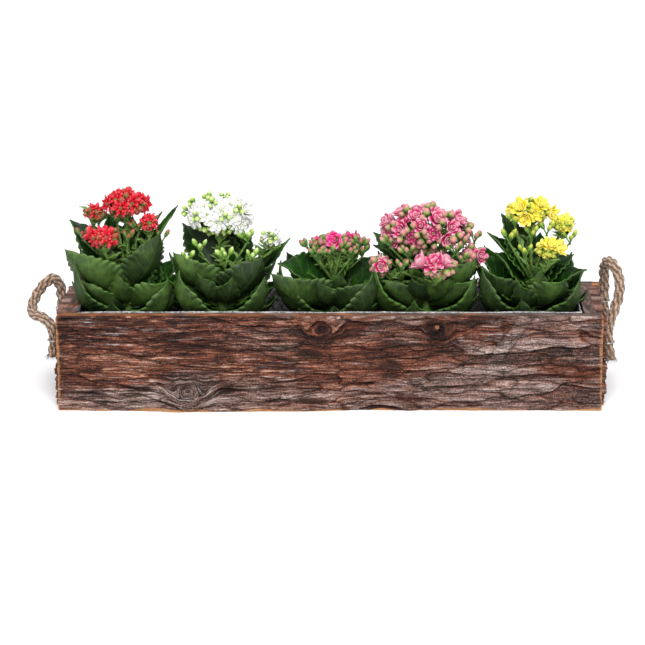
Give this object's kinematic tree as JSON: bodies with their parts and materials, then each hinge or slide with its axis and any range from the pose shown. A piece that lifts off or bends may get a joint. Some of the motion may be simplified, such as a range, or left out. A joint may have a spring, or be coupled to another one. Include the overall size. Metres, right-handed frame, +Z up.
{
  "type": "kalanchoe wooden box",
  "caption": "Long bark-faced wooden planter box with twisted rope handles, holding a row of potted kalanchoes in bloom in mixed colours",
  "frame": {"origin": "centre of the flat underside of the base board", "axes": "+X runs along the box to its right end as seen from the front, -Y is the front with the thicker bark, +Z is up"},
  "size_m": [0.6158, 0.1593, 0.215],
  "materials": {
    "bark": "rough red-brown and grey bark, dry and fibrous, with sawn orange wood at its cut edges",
    "sawn_pine": "sawn, unfinished",
    "film": "thin translucent polythene film, creased",
    "jute_rope": "three-strand twisted jute, fuzzy",
    "staple_wire": "plain bright wire",
    "pot_plastic": "dark thin nursery pot",
    "soil": "loose dark peat with white perlite",
    "leaf": "fleshy dark green leaf with a soft sheen, paler below; the stalks and buds are lighter green",
    "red_petals": "soft satin petal",
    "white_petals": "soft satin petal",
    "magenta_petals": "soft satin petal",
    "pink_petals": "soft satin petal, deeper pink inside",
    "yellow_petals": "soft satin petal"
  },
  "bodies": {
    "root": {"front_slab": "bark", "back_slab": "bark", "right_slab": "bark", "left_slab": "bark", "base_board": "sawn_pine", "film_liner": "film", "pot_1": "pot_plastic", "soil_1": "soil", "pot_2": "pot_plastic", "soil_2": "soil", "pot_3": "pot_plastic", "soil_3": "soil", "pot_4": "pot_plastic", "soil_4": "soil", "pot_5": "pot_plastic", "soil_5": "soil", "rope_handle_right": "jute_rope", "rope_staple_right_front": "staple_wire", "rope_staple_right_back": "staple_wire", "rope_handle_left": "jute_rope", "rope_staple_left_front": "staple_wire", "rope_staple_left_back": "staple_wire", "red_plant": "leaf", "red_bloom_1": "red_petals", "red_bloom_2": "red_petals", "red_bloom_3": "red_petals", "red_bloom_4": "red_petals", "white_plant": "leaf", "white_bloom_1": "white_petals", "white_bloom_2": "white_petals", "magenta_plant": "leaf", "magenta_bloom_1": "magenta_petals", "magenta_bloom_2": "magenta_petals", "magenta_bloom_3": "magenta_petals", "pink_plant": "leaf", "pink_bloom_1": "pink_petals", "pink_bloom_2": "pink_petals", "pink_bloom_3": "pink_petals", "pink_bloom_4": "pink_petals", "yellow_plant": "leaf", "yellow_bloom_1": "yellow_petals", "yellow_bloom_2": "yellow_petals", "yellow_bloom_3": "yellow_petals"}
  },
  "joints": []
}
